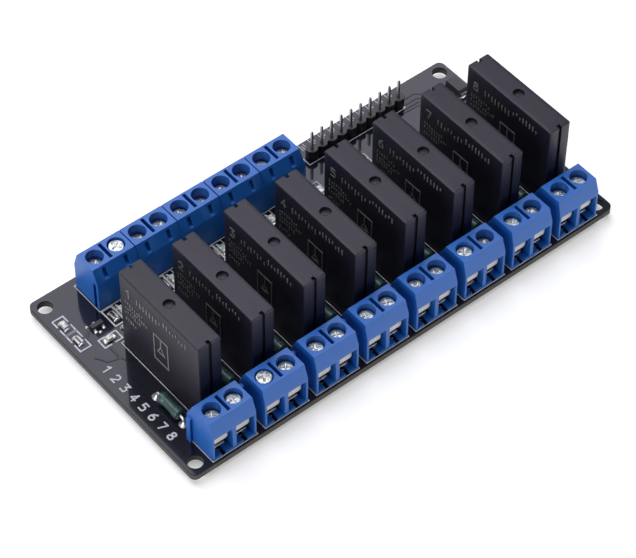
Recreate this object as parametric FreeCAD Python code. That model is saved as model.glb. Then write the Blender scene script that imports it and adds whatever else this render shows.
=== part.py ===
import FreeCAD, Part
import math
import os

# Relay module board: eight solid-state relays stand in a row on one printed circuit board.
# A row of blue screw terminals for the switched outputs runs along the near long edge,
# and a row of input terminals and a ten-pin header run along the far one.
# Frame: X along the board, Y from the output terminals to the input terminals, Z up.
# The origin is the middle of the four mounting holes, on the board's underside.
# Every length is in millimetres.

V = FreeCAD.Vector

# Circuit board
board_thickness = 1.6
board_corner_radius = 1.3
mounting_hole_diameter = 3.2
mounting_hole_from_end = 2.4
mounting_hole_from_side = 2.6
lead_trim_length = 1.3

# One channel: a relay, its output terminal, its fusible resistor and its small parts
channel_count = 8
channel_pitch = 12.27

# Solid-state relay, a slim plastic case with four leads in one line
relay_length = 24.2
relay_thickness = 5.3
relay_height = 20.4
relay_from_left_end = 11.53
relay_from_right_end = 7.98
relay_behind_terminal = 0.9
relay_edge_chamfer = 0.3
relay_groove_width = 0.8
relay_groove_depth = 0.45
relay_notch_depth = 0.95
relay_notch_height = 0.7
relay_dimple_diameter = 2.3
relay_dimple_depth = 0.75
relay_dimple_sides = 12
relay_lead_width = 0.8
relay_lead_thickness = 0.4
relay_load_lead_spacing = 7.62
relay_middle_lead_spacing = 10.16
relay_control_lead_spacing = 2.54

# Screw terminal block, two poles, used for the outputs and the inputs
terminal_pitch = 5.08
terminal_poles = 2
terminal_height = 10.1
terminal_knee_height = 6.9
terminal_wire_face = 3.45
terminal_back_face = 4.25
terminal_top_front = 2.5
terminal_top_back = 2.65
terminal_end_taper = 0.12
well_diameter = 3.6
well_sides = 14
window_width = 4.2
window_height = 6.05
chamber_back = 2.1
floor_thickness = 0.5
floor_slot_width = 0.9
floor_slot_length = 2.2
divider_slot_width = 0.75
divider_slot_length = 4.15
divider_slot_depth = 3.2
sight_slot_width = 0.95
sight_slot_bottom = 7.4
sight_slot_top = 9.6
sight_slot_depth = 0.9
rail_from_screw = 3.1
rail_neck_width = 0.7
rail_head_width = 1.25
rail_depth = 0.65
rail_height = 6.6
rail_clearance = 0.08
output_count = 8
output_left_of_relay = 1.495
output_row_inset = 3.95
input_count = 5
input_from_end = 10.19
input_row_inset = 5.6

# Metal parts of one pole
clamp_width = 3.4
clamp_front = 2.45
clamp_sheet = 0.45
clamp_nut_height = 1.1
clamp_lip_height = 2.9
clamp_lip_corner = 0.35
clamp_clearance = 0.05
screw_head_diameter = 3.1
screw_head_height = 1.2
screw_head_sides = 10
screw_shank_diameter = 2.4
screw_shank_length = 3.6
screw_shank_sides = 6
contact_width = 3.4
contact_sheet = 0.35
contact_front = 1.3
pin_width = 1.0
pin_thickness = 0.8
pin_from_screw = 0.5

# Gap under each screw head, from the left end of the row: the screws are driven to unequal depths
output_screw_gaps = (0.9, 1.7, 2.65, 1.4, 1.5, 1.3, 1.45, 1.4,
                     1.05, 1.05, 1.85, 0.65, 1.5, 1.0, 1.0, 1.3)
input_screw_gaps = (0.7, 2.45, 0.55, 0.9, 0.7, 0.3, 0.5, 0.4, 0.55, 0.65)

# Ten-pin header
header_pins = 10
header_pitch = 2.54
header_height = 2.5
header_notch = 0.75
header_pin_size = 0.5
header_pin_height = 7.2
header_pin_point = 0.5
header_from_end = 67.4
header_row_inset = 4.2

# Fusible resistor, one beside each relay, with round leads bent down through the board
fuse_length = 6.1
fuse_cap_diameter = 2.5
fuse_cap_length = 1.5
fuse_middle_diameter = 2.05
fuse_neck_length = 0.35
fuse_sides = 10
fuse_lead_sides = 6
fuse_lead_diameter = 0.6
fuse_lead_spacing = 8.3
fuse_lift = 0.15
fuse_left_of_relay = 5.45
fuse_behind_relay_end = 5.8

# Small surface-mounted parts
chip_length = 2.0
chip_width = 1.25
chip_height = 0.55
led_base_height = 0.3
led_lens_length = 1.15
led_lens_height = 0.85
led_lens_taper = 0.12
transistor_length = 2.9
transistor_width = 1.3
transistor_height = 1.0
transistor_taper = 0.15
transistor_lead_width = 0.4
transistor_lead_sheet = 0.15
transistor_lead_spacing = 1.9
transistor_lead_reach = 0.55
transistor_lift = 0.1
diode_length = 4.4
diode_width = 2.6
diode_height = 2.1
diode_taper = 0.2
diode_lead_width = 1.5
diode_lead_sheet = 0.2
diode_lead_reach = 0.7
diode_lift = diode_lead_sheet
diode_from_end = 3.1
diode_from_side = 8.6
channel_chip_left = 0.2
channel_chip_right = 1.95
channel_chip_gap = 0.95
channel_chip_spacing = 4.2
channel_parts_strip = 9.45
power_row_from_end = 2.45
power_led_from_side = 8.85
power_resistor_from_side = 13.45
status_led_from_end = 7.4
status_led_from_side = 16.75
transistor_from_end = 7.35
transistor_from_side = 12.75

# Overrun of a cut past the face that it opens
overrun = 1.0

# Places worked out from the sizes above: the rows, laid side by side, give the board its size
board_top = board_thickness
board_length = relay_from_left_end + (channel_count - 1) * channel_pitch + relay_from_right_end
board_width = (output_row_inset + terminal_back_face + relay_behind_terminal + relay_length
               + channel_parts_strip + terminal_back_face + input_row_inset)
half_length = board_length / 2
half_width = board_width / 2
hole_x = half_length - mounting_hole_from_end
hole_y = half_width - mounting_hole_from_side
terminal_width = terminal_pitch * terminal_poles
output_y = -half_width + output_row_inset
relay_near_end = output_y + terminal_back_face + relay_behind_terminal
relay_y = relay_near_end + relay_length / 2
relay_far_end = relay_near_end + relay_length
input_y = half_width - input_row_inset
header_x = -half_length + header_from_end
header_y = half_width - header_row_inset
pole_offsets = [(pole - (terminal_poles - 1) / 2) * terminal_pitch for pole in range(terminal_poles)]


def relay_x(channel):
    return -half_length + relay_from_left_end + channel * channel_pitch


def output_x(channel):
    return relay_x(channel) - output_left_of_relay


def input_x(block):
    return -half_length + input_from_end + (block + 0.5) * terminal_width


def block(x0, x1, y0, y1, z0, z1):
    """A rectangular solid between two corners."""
    return Part.makeBox(x1 - x0, y1 - y0, z1 - z0, V(x0, y0, z0))


def cylinder(diameter, height, x=0, y=0, z=0):
    """An upright round solid standing at x, y, z."""
    return Part.makeCylinder(diameter / 2, height, V(x, y, z))


def rod(diameter, sides, height, x=0, y=0, z=0):
    """An upright rod with flats, the plain form of the small round pieces."""
    turns = [2 * math.pi * (side + 0.5) / sides for side in range(sides)]
    corners = [(x + diameter / 2 * math.cos(turn), y + diameter / 2 * math.sin(turn)) for turn in turns]
    return prism_z(corners, z, z + height)


def prism_x(points, x0, x1):
    """A Y-Z outline carried from x0 to x1."""
    wire = Part.makePolygon([V(x0, y, z) for y, z in points + points[:1]])
    return Part.Face(wire).extrude(V(x1 - x0, 0, 0))


def prism_y(points, y0, y1):
    """An X-Z outline carried from y0 to y1."""
    wire = Part.makePolygon([V(x, y0, z) for x, z in points + points[:1]])
    return Part.Face(wire).extrude(V(0, y1 - y0, 0))


def prism_z(points, z0, z1):
    """An X-Y outline carried from z0 to z1."""
    wire = Part.makePolygon([V(x, y, z0) for x, y in points + points[:1]])
    return Part.Face(wire).extrude(V(0, 0, z1 - z0))


def ring_y(radius, sides, y, z=0):
    """The corners of a regular outline of so many sides round the Y direction."""
    turns = [2 * math.pi * (side + 0.5) / sides for side in range(sides)]
    return [V(radius * math.cos(turn), y, z + radius * math.sin(turn)) for turn in turns]


def skin(rings):
    """A solid with flat sides between outlines of as many corners, closed at the first and last."""
    faces = [Part.Face(Part.makePolygon(ring + ring[:1])) for ring in (rings[0], rings[-1])]
    for lower, upper in zip(rings, rings[1:]):
        for corner in range(len(lower)):
            after = (corner + 1) % len(lower)
            sides = [lower[corner], lower[after], upper[after], upper[corner], lower[corner]]
            faces.append(Part.Face(Part.makePolygon(sides)))
    solid = Part.makeSolid(Part.makeShell(faces))
    if solid.Volume < 0:
        solid.reverse()
    return solid


def taper_block(length, width, z0, z1, taper):
    """A block along X whose top is smaller than its foot by the taper on each side."""
    corners = [(-1, -1), (1, -1), (1, 1), (-1, 1)]
    foot = [V(sx * length / 2, sy * width / 2, z0) for sx, sy in corners]
    top = [V(sx * (length / 2 - taper), sy * (width / 2 - taper), z1) for sx, sy in corners]
    return skin([foot, top])


def vertical_edges(shape, height):
    """The straight edges that run up a solid for at least the given height."""
    return [edge for edge in shape.Edges
            if abs(edge.BoundBox.ZLength) >= height and edge.BoundBox.XLength < 1e-6
            and edge.BoundBox.YLength < 1e-6]


def moved(shape, x, y, z=0, turn=0):
    """A copy turned about Z and then carried to x, y, z."""
    copy = shape.copy()
    copy.rotate(V(0, 0, 0), V(0, 0, 1), turn)
    copy.translate(V(x, y, z))
    return copy


def save(name, solids):
    """Writes one node, a single solid or a group of separate ones."""
    shape = solids[0] if len(solids) == 1 else Part.makeCompound(solids)
    shape.exportStep("parts/" + name + ".step")


# Relay: the case has a groove down the middle of both ends, which opens into a deeper notch
# at the top, and a round ejector dimple in the middle of its top face.
def make_relay_case():
    half_l = relay_length / 2
    half_t = relay_thickness / 2
    case = block(-half_t, half_t, -half_l, half_l, 0, relay_height)
    case = case.makeChamfer(relay_edge_chamfer, vertical_edges(case, relay_height - relay_edge_chamfer))
    for side in (-1, 1):
        groove = block(-relay_groove_width / 2, relay_groove_width / 2, -relay_groove_depth,
                       relay_groove_depth, -overrun, relay_height + overrun)
        groove.translate(V(0, side * half_l, 0))
        notch = block(-relay_groove_width / 2, relay_groove_width / 2, -relay_notch_depth,
                      relay_notch_depth, relay_height - relay_notch_height, relay_height + overrun)
        notch.translate(V(0, side * half_l, 0))
        case = case.cut(groove).cut(notch)
    dimple = rod(relay_dimple_diameter, relay_dimple_sides, relay_dimple_depth + overrun,
                 z=relay_height - relay_dimple_depth)
    return case.cut(dimple).removeSplitter()


relay_lead_steps = (relay_load_lead_spacing, relay_middle_lead_spacing, relay_control_lead_spacing)
relay_lead_places = [-sum(relay_lead_steps) / 2]
for step in relay_lead_steps:
    relay_lead_places.append(relay_lead_places[-1] + step)


def make_relay_lead(place):
    return block(-relay_lead_thickness / 2, relay_lead_thickness / 2, place - relay_lead_width / 2,
                 place + relay_lead_width / 2, -board_thickness - lead_trim_length, 0)


# Terminal housing: the wires enter on the -Y side, under a face that leans back above the
# windows. Each pole has a screw well from the top and a chamber behind its window. A dovetail
# rail near the back of the -X end slides into the groove of the next block.
def make_terminal_housing():
    half_w = terminal_width / 2
    outline = [(-terminal_wire_face, 0), (-terminal_wire_face, terminal_knee_height),
               (-terminal_top_front, terminal_height), (terminal_top_back, terminal_height),
               (terminal_back_face, terminal_knee_height), (terminal_back_face, 0)]
    housing = prism_x(outline, -half_w, half_w)
    for side in (-1, 1):
        housing = housing.cut(prism_y([(side * half_w, terminal_knee_height),
                                       (side * (half_w - terminal_end_taper), terminal_height),
                                       (side * half_w, terminal_height)],
                                      -terminal_wire_face, terminal_back_face))
    rail_foot = rail_neck_width / 2
    rail_crest = rail_head_width / 2
    rail = prism_z([(-half_w, rail_from_screw - rail_foot), (-half_w, rail_from_screw + rail_foot),
                    (-half_w - rail_depth, rail_from_screw + rail_crest),
                    (-half_w - rail_depth, rail_from_screw - rail_crest)], 0, rail_height)
    gap = rail_clearance
    groove = prism_z([(half_w, rail_from_screw - rail_foot - gap),
                      (half_w, rail_from_screw + rail_foot + gap),
                      (half_w - rail_depth - gap, rail_from_screw + rail_crest + gap),
                      (half_w - rail_depth - gap, rail_from_screw - rail_crest - gap)],
                     -overrun, rail_height + gap)
    housing = housing.fuse(rail).cut(groove)
    divider = block(-divider_slot_width / 2, divider_slot_width / 2,
                    -divider_slot_length / 2, divider_slot_length / 2,
                    terminal_height - divider_slot_depth, terminal_height + overrun)
    housing = housing.cut(divider)
    slope = (terminal_back_face - terminal_top_back) / (terminal_height - terminal_knee_height)
    slot_face = [(terminal_back_face - slope * (height - terminal_knee_height), height)
                 for height in (sight_slot_bottom, sight_slot_top)]
    for x in pole_offsets:
        well = rod(well_diameter, well_sides, terminal_height, x, 0, window_height - clamp_clearance)
        chamber = block(x - window_width / 2, x + window_width / 2,
                        -terminal_wire_face - overrun, chamber_back, floor_thickness, window_height)
        floor_slot = block(x - floor_slot_width / 2, x + floor_slot_width / 2,
                           -terminal_wire_face - overrun, -terminal_wire_face + floor_slot_length,
                           -overrun, floor_thickness + overrun)
        pin_hole = block(x - pin_width / 2, x + pin_width / 2, pin_from_screw - pin_thickness / 2,
                         pin_from_screw + pin_thickness / 2, -overrun, floor_thickness + overrun)
        sight_slot = prism_x([(slot_face[0][0] + overrun, slot_face[0][1]),
                              (slot_face[1][0] + overrun, slot_face[1][1]),
                              (slot_face[1][0] - sight_slot_depth, slot_face[1][1]),
                              (slot_face[0][0] - sight_slot_depth, slot_face[0][1])],
                             x - sight_slot_width / 2, x + sight_slot_width / 2)
        housing = housing.cut(well).cut(chamber).cut(floor_slot).cut(pin_hole).cut(sight_slot)
    return housing.removeSplitter()


# Wire clamp of one pole, folded from plated sheet: a nut plate under the roof of the chamber,
# and a lip with cut-off corners in front, which guards the wire.
def make_clamp():
    half_w = clamp_width / 2
    back = chamber_back - clamp_clearance
    roof = window_height - clamp_clearance
    nut = block(-half_w, half_w, -clamp_front + clamp_sheet, back, roof - clamp_nut_height, roof)
    lip = block(-half_w, half_w, -clamp_front, -clamp_front + clamp_sheet, roof - clamp_lip_height, roof)
    lip_corners = [edge for edge in lip.Edges if edge.BoundBox.ZMax < roof - clamp_lip_height + 1e-6
                   and edge.BoundBox.XLength < 1e-6]
    lip = lip.makeChamfer(clamp_lip_corner, lip_corners)
    thread = rod(screw_shank_diameter + 2 * clamp_clearance, screw_shank_sides,
                 clamp_nut_height + 2 * overrun, z=roof - clamp_nut_height - overrun)
    return nut.fuse(lip).removeSplitter().cut(thread)


# Terminal screw: a cheese head in the well, at a gap above the nut plate that its shank passes.
def make_screw(gap):
    head_foot = window_height - clamp_clearance + gap
    head = rod(screw_head_diameter, screw_head_sides, screw_head_height, z=head_foot)
    shank = rod(screw_shank_diameter, screw_shank_sides, screw_shank_length,
                z=head_foot - screw_shank_length)
    return head.fuse(shank)


# Contact of one pole: a plate that lies on the chamber's floor, and the pin under it, which is
# soldered to the board.
def make_contact():
    plate_foot = floor_thickness
    plate = block(-contact_width / 2, contact_width / 2, -contact_front, chamber_back - clamp_clearance,
                  plate_foot, plate_foot + contact_sheet)
    pin = block(-pin_width / 2, pin_width / 2, pin_from_screw - pin_thickness / 2,
                pin_from_screw + pin_thickness / 2, -board_thickness - lead_trim_length, plate_foot)
    return plate.fuse(pin)


# Header: one moulded strip, notched between the pins on both sides, with square pointed pins.
def make_header_base():
    half_d = header_pitch / 2
    near_side = []
    far_side = []
    for pin in range(header_pins):
        start = (pin - 0.5) * header_pitch
        end = start + header_pitch
        near_side += [(start, -half_d + header_notch), (start + header_notch, -half_d),
                      (end - header_notch, -half_d)]
        far_side += [(start, half_d - header_notch), (start + header_notch, half_d),
                     (end - header_notch, half_d)]
    finish = (header_pins - 0.5) * header_pitch
    outline = near_side + [(finish, -half_d + header_notch), (finish, half_d - header_notch)]
    base = prism_z(outline + far_side[::-1], 0, header_height)
    half_p = header_pin_size / 2
    for pin in range(header_pins):
        x = pin * header_pitch
        hole = block(x - half_p, x + half_p, -half_p, half_p, -overrun, header_height + overrun)
        base = base.cut(hole)
    return base


def make_header_pin():
    size = header_pin_size
    foot = -board_thickness - lead_trim_length
    shoulder = header_pin_height - header_pin_point
    shaft = block(-size / 2, size / 2, -size / 2, size / 2, foot, shoulder)
    point = taper_block(size, size, shoulder, header_pin_height, size / 4)
    return shaft.fuse(point)


# Fusible resistor: a lacquered body of revolution along Y, wider at both end caps.
def make_fuse_body():
    cap = fuse_cap_diameter / 2
    middle = fuse_middle_diameter / 2
    half_l = fuse_length / 2
    shoulder = half_l - fuse_cap_length
    waist = shoulder - fuse_neck_length
    profile = [(cap, -half_l), (cap, -shoulder), (middle, -waist), (middle, waist),
               (cap, shoulder), (cap, half_l)]
    body = skin([ring_y(radius, fuse_sides, y) for radius, y in profile])
    body.translate(V(0, 0, fuse_lift + cap))
    return body


def make_fuse_lead(side):
    """One lead: out of the cap along Y, mitred, then straight down through the board."""
    radius = fuse_lead_diameter / 2
    axis_z = fuse_lift + fuse_cap_diameter / 2
    reach = fuse_lead_spacing / 2
    foot = -board_thickness - lead_trim_length
    start = ring_y(radius, fuse_lead_sides, side * fuse_length / 2, axis_z)
    mitre = [V(corner.x, side * (reach + corner.z - axis_z), corner.z) for corner in start]
    end = [V(corner.x, corner.y, foot) for corner in mitre]
    return skin([start, mitre, end])


# Chip resistor and light-emitting diode, both long in X
def make_chip():
    return block(-chip_length / 2, chip_length / 2, -chip_width / 2, chip_width / 2, 0, chip_height)


def make_led():
    base = block(-chip_length / 2, chip_length / 2, -chip_width / 2, chip_width / 2, 0, led_base_height)
    lens = taper_block(led_lens_length, chip_width, led_base_height, led_lens_height, led_lens_taper)
    return base.fuse(lens)


# Transistor: a tapered body long in X, two leads on the -Y side and one on the +Y side
def make_transistor_body():
    body = taper_block(transistor_length, transistor_width, transistor_lift, transistor_height,
                       transistor_taper)
    return body


def make_transistor_leads():
    inner = transistor_width / 2
    outer = inner + transistor_lead_sheet
    reach = inner + transistor_lead_reach
    shoulder = (transistor_lift + transistor_height) / 2
    outline = [(inner, 0), (reach, 0), (reach, transistor_lead_sheet), (outer, transistor_lead_sheet),
               (outer, shoulder), (inner, shoulder)]
    lead = prism_x(outline, -transistor_lead_width / 2, transistor_lead_width / 2)
    half_spacing = transistor_lead_spacing / 2
    return [moved(lead, 0, 0), moved(lead, half_spacing, 0, turn=180),
            moved(lead, -half_spacing, 0, turn=180)]


# Protection diode: a larger tapered body long in X with one flat lead folded under each end
def make_diode_body():
    return taper_block(diode_length, diode_width, diode_lift, diode_height, diode_taper)


def make_diode_leads():
    inner = diode_length / 2
    outer = inner + diode_lead_sheet
    tuck = inner - diode_lead_reach
    shoulder = (diode_lift + diode_height) / 2
    outline = [(tuck, 0), (outer, 0), (outer, shoulder), (inner, shoulder),
               (inner, diode_lead_sheet), (tuck, diode_lead_sheet)]
    wire = Part.makePolygon([V(x, -diode_lead_width / 2, z) for x, z in outline + outline[:1]])
    lead = Part.Face(wire).extrude(V(0, diode_lead_width, 0))
    return [moved(lead, 0, 0), moved(lead, 0, 0, turn=180)]


relay_case = make_relay_case()
housing = make_terminal_housing()
clamp = make_clamp()
contact = make_contact()
fuse_body = make_fuse_body()
chip = make_chip()
led = make_led()
transistor_body = make_transistor_body()
transistor_leads = make_transistor_leads()

relay_cases = []
relay_leads = []
fuse_bodies = []
fuse_leads = []
output_housings = []
output_clamps = []
output_screws = []
output_contacts = []
input_housings = []
input_clamps = []
input_screws = []
input_contacts = []
channel_leds = []
channel_resistors = []
channel_transistors = []
channel_transistor_leads = []

for channel in range(channel_count):
    x = relay_x(channel)
    relay_cases.append(moved(relay_case, x, relay_y, board_top))
    relay_leads += [moved(make_relay_lead(place), x, relay_y, board_top) for place in relay_lead_places]
    fuse_x = x - fuse_left_of_relay
    fuse_y = relay_near_end + fuse_behind_relay_end
    fuse_bodies.append(moved(fuse_body, fuse_x, fuse_y, board_top))
    fuse_leads += [moved(make_fuse_lead(side), fuse_x, fuse_y, board_top) for side in (-1, 1)]
    chip_near_y = relay_far_end + channel_chip_gap + transistor_length / 2
    chip_far_y = chip_near_y + channel_chip_spacing
    channel_resistors.append(moved(chip, x - channel_chip_left, chip_far_y, board_top, 90))
    channel_resistors.append(moved(chip, x - channel_chip_left, chip_near_y, board_top, 90))
    channel_leds.append(moved(led, x + channel_chip_right, chip_far_y, board_top, 90))
    channel_transistors.append(moved(transistor_body, x + channel_chip_right, chip_near_y, board_top,
                                     90))
    channel_transistor_leads += [moved(lead, x + channel_chip_right, chip_near_y, board_top, 90)
                                 for lead in transistor_leads]

for terminal in range(output_count):
    x = output_x(terminal)
    output_housings.append(moved(housing, x, output_y, board_top))
    for pole, offset in enumerate(pole_offsets):
        gap = output_screw_gaps[(terminal * terminal_poles + pole) % len(output_screw_gaps)]
        output_clamps.append(moved(clamp, x + offset, output_y, board_top))
        output_screws.append(moved(make_screw(gap), x + offset, output_y, board_top))
        output_contacts.append(moved(contact, x + offset, output_y, board_top))

for terminal in range(input_count):
    x = input_x(terminal)
    input_housings.append(moved(housing, x, input_y, board_top, 180))
    for pole, offset in enumerate(pole_offsets):
        gap = input_screw_gaps[(terminal * terminal_poles + pole) % len(input_screw_gaps)]
        input_clamps.append(moved(clamp, x + offset, input_y, board_top, 180))
        input_screws.append(moved(make_screw(gap), x + offset, input_y, board_top, 180))
        input_contacts.append(moved(contact, x + offset, input_y, board_top, 180))

header_pin = make_header_pin()
header_pin_row = [moved(header_pin, header_x + pin * header_pitch, header_y, board_top)
                  for pin in range(header_pins)]


# Circuit board: four mounting holes, and one filled hole for every lead that passes through
def make_board():
    board = block(-half_length, half_length, -half_width, half_width, 0, board_thickness)
    board = board.makeFillet(board_corner_radius, vertical_edges(board, board_thickness / 2))
    drill_depth = board_thickness + 2 * overrun
    through = [cylinder(mounting_hole_diameter, drill_depth, sx * hole_x, sy * hole_y, -overrun)
               for sx in (-1, 1) for sy in (-1, 1)]
    leads = relay_leads + fuse_leads + output_contacts + input_contacts + header_pin_row
    return board.cut(through + leads)


board = make_board()

os.makedirs("parts", exist_ok=True)
save("circuit_board", [board])
for number, case in enumerate(relay_cases, 1):
    save("relay_" + str(number), [case])
save("relay_leads", relay_leads)
for number, body in enumerate(fuse_bodies, 1):
    save("fuse_resistor_" + str(number), [body])
save("fuse_resistor_leads", fuse_leads)
for number, shell in enumerate(output_housings, 1):
    save("output_terminal_" + str(number), [shell])
save("output_wire_clamps", output_clamps)
save("output_terminal_screws", output_screws)
save("output_contacts", output_contacts)
for number, shell in enumerate(input_housings, 1):
    save("input_terminal_" + str(number), [shell])
save("input_wire_clamps", input_clamps)
save("input_terminal_screws", input_screws)
save("input_contacts", input_contacts)
save("pin_header_base", [moved(make_header_base(), header_x, header_y, board_top)])
save("pin_header_pins", header_pin_row)
save("channel_leds", channel_leds)
save("channel_resistors", channel_resistors)
save("channel_transistors", channel_transistors)
save("channel_transistor_leads", channel_transistor_leads)
power_x = -half_length + power_row_from_end
save("power_led", [moved(led, power_x, half_width - power_led_from_side, board_top, 90)])
save("power_resistor", [moved(chip, power_x, half_width - power_resistor_from_side, board_top, 90)])
save("status_led", [moved(led, -half_length + status_led_from_end,
                          half_width - status_led_from_side, board_top)])
corner_x = -half_length + transistor_from_end
corner_y = half_width - transistor_from_side
save("supply_transistor", [moved(transistor_body, corner_x, corner_y, board_top)])
save("supply_transistor_leads", [moved(lead, corner_x, corner_y, board_top)
                                 for lead in transistor_leads])
diode_x = half_length - diode_from_end
diode_y = half_width - diode_from_side
save("protection_diode", [moved(make_diode_body(), diode_x, diode_y, board_top, 90)])
save("protection_diode_leads", [moved(lead, diode_x, diode_y, board_top, 90)
                                for lead in make_diode_leads()])
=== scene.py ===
import math

import bmesh
import bpy
import numpy as np
from mathutils import Matrix, Vector


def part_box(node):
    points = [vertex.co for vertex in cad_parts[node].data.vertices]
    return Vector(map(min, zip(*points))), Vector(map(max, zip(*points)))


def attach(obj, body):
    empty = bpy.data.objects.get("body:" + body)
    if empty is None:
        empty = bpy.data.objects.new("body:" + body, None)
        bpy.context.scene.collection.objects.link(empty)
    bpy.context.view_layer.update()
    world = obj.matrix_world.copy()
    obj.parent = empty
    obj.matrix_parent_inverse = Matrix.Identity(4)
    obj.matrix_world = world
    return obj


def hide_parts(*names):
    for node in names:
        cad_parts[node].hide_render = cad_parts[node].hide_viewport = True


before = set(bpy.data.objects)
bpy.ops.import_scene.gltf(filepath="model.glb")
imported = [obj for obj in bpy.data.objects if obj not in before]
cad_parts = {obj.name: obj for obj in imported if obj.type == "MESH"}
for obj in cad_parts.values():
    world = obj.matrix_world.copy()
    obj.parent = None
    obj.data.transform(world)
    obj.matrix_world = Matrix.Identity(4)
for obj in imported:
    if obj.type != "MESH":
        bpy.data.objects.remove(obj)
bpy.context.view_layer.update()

MM = 0.001

# Circuit board: glass-epoxy laminate, 1.6 mm thick, under a satin black solder mask. It is drilled
# and routed from a panel, so its edge and its hole walls show the bare laminate, below a dark rim
# where the cutter drags the mask down.
board_low, board_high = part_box("circuit_board")
board_top = board_high.z
mask_colour = (0.0066, 0.0066, 0.0125)
laminate_colour = (0.110, 0.107, 0.096)
laminate_streak = (0.068, 0.066, 0.060)
weave_pitch = 0.55 * MM
rim_depth, rim_fade = 0.3 * MM, 0.075 * MM


class Wire:
    """One output in a shader graph. Sums, differences and products of it add Math nodes."""

    def __init__(self, finish, socket):
        self.finish = finish
        self.socket = socket

    def math(self, operation, first, second=0.0):
        return self.finish.node("ShaderNodeMath", {"operation": operation}, {0: first, 1: second})

    def __add__(self, other):
        return self.math("ADD", self, other)

    __radd__ = __add__

    def __sub__(self, other):
        return self.math("SUBTRACT", self, other)

    def __rsub__(self, other):
        return self.math("SUBTRACT", other, self)

    def __mul__(self, other):
        return self.math("MULTIPLY", self, other)

    __rmul__ = __mul__

    def __abs__(self):
        return self.math("ABSOLUTE", self)

    def above(self, level):
        """1 where it is above the level, and 0 elsewhere."""
        return self.math("GREATER_THAN", self, level)

    def sine(self):
        return self.math("SINE", self)


class Finish:
    """A surface finish: a node material with one Principled shader, read in Object coordinates."""

    def __init__(self, name, **even):
        self.material = bpy.data.materials.new(name)
        self.material.use_nodes = True
        self.tree = self.material.node_tree
        self.shader = self.tree.nodes["Principled BSDF"]
        for socket, value in even.items():
            self.shader.inputs[socket.replace("_", " ")].default_value = value
        self.place = self.node("ShaderNodeTexCoord", out="Object")

    def node(self, kind, settings={}, inputs={}, out=0):
        """Adds a node: first its settings, then the values or wires of its sockets."""
        made = self.tree.nodes.new(kind)
        for key, value in settings.items():
            setattr(made, key, value)
        for key, value in inputs.items():
            if isinstance(value, Wire):
                self.tree.links.new(value.socket, made.inputs[key])
            else:
                made.inputs[key].default_value = value
        return Wire(self, made.outputs[out])

    def feed(self, socket, wire):
        self.tree.links.new(wire.socket, self.shader.inputs[socket])

    def noise(self, scale, detail=3.0, rough=0.5, stretch=(1.0, 1.0, 1.0)):
        """Noise from 0 to 1 with the given number of lumps in a metre."""
        place = self.node("ShaderNodeMapping", {}, {"Vector": self.place, "Scale": stretch})
        return self.node("ShaderNodeTexNoise", {},
                         {"Vector": place, "Scale": scale, "Detail": detail, "Roughness": rough})

    def blend(self, factor, first, second):
        """A colour between two colours, by a factor from 0 to 1."""
        first, second = [(*colour, 1.0) if isinstance(colour, tuple) else colour
                         for colour in (first, second)]
        return self.node("ShaderNodeMix", {"data_type": "RGBA"}, {0: factor, 6: first, 7: second}, out=2)

    def axes(self, vector):
        """The three parts of a vector."""
        split = self.tree.nodes.new("ShaderNodeSeparateXYZ")
        self.tree.links.new(vector.socket, split.inputs[0])
        return [Wire(self, part) for part in split.outputs]

    def ramp(self, value, start, end):
        """0 up to the start, 1 from the end on, and an even rise between."""
        return self.node("ShaderNodeMapRange", {"clamp": True},
                         {"Value": value, "From Min": start, "From Max": end})

    def emboss(self, height, depth):
        """Bump from a height of 0 to 1, for a relief of the given depth in metres."""
        self.feed("Normal", self.node("ShaderNodeBump", {}, {"Height": height, "Distance": depth}))


def dress(node, finish):
    """Gives a CAD node its finish."""
    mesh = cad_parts[node].data
    mesh.materials.clear()
    mesh.materials.append(finish.material)


mask = Finish("solder_mask", Specular_IOR_Level=0.08, Coat_Roughness=0.06)
x, y, z = mask.axes(mask.place)
facing = mask.axes(mask.node("ShaderNodeNewGeometry", out="Normal"))
cut_edge = 1 - abs(facing[2]).above(0.5)
ply = mask.noise(300.0, 2.0, 0.6, (1.0, 1.0, 14.0))
cover = mask.blend(mask.noise(90.0, 4.0), mask_colour, tuple(1.35 * part for part in mask_colour))
core = mask.blend(mask.ramp(ply, 0.35, 0.65), laminate_streak, laminate_colour)
top_rim = mask.ramp(z, board_top - rim_depth - rim_fade, board_top - rim_depth)
core = mask.blend(top_rim, core, mask_colour)
mask.feed("Base Color", mask.blend(cut_edge, cover, core))
mask.feed("Roughness", 0.16 + mask.noise(60.0, 3.0) * 0.08 + cut_edge * 0.4)
mask.feed("Coat Weight", (1 - cut_edge) * 0.68)
turns = 2 * math.pi / weave_pitch
weave = (x * turns).sine() * (y * turns).sine()
mask.emboss(weave * 0.25 + mask.noise(2500.0, 2.0) * 0.5, 0.004 * MM)
dress("circuit_board", mask)

# Foil tracks: etched copper under the mask, so they show only as faint raised ridges of the same
# black. The wide ones carry the load between relays and terminals, the thin ones the signals.
foil_height = 0.09 * MM
foil_draft = 0.12 * MM
signal_width = 0.55 * MM
load_width = 2.2 * MM
sunk = 0.01 * MM


def skin(rings):
    """A closed shape from rings of points, rows x columns x 3, each ring turning left seen from the
    end that the rings go to. Neighbouring rings are joined by quads, and both ends get a flat cap."""
    rings = np.asarray(rings, float)
    index = np.arange(rings.shape[0] * rings.shape[1]).reshape(rings.shape[:2])
    after = np.roll(index, -1, axis=1)
    quads = np.stack([index[:-1], after[:-1], after[1:], index[1:]], -1).reshape(-1, 4)
    return rings.reshape(-1, 3), [quads, index[:1, ::-1], index[-1:]]


def placed(shape, spots, turn=0.0):
    """Copies of a shape, turned about the upright axis and carried to each of the spots."""
    points, faces = shape
    cos, sin = math.cos(turn), math.sin(turn)
    turned = points @ np.array([[cos, sin, 0], [-sin, cos, 0], [0, 0, 1]])
    return [(turned + np.asarray(spot, float), faces) for spot in spots]


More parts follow.
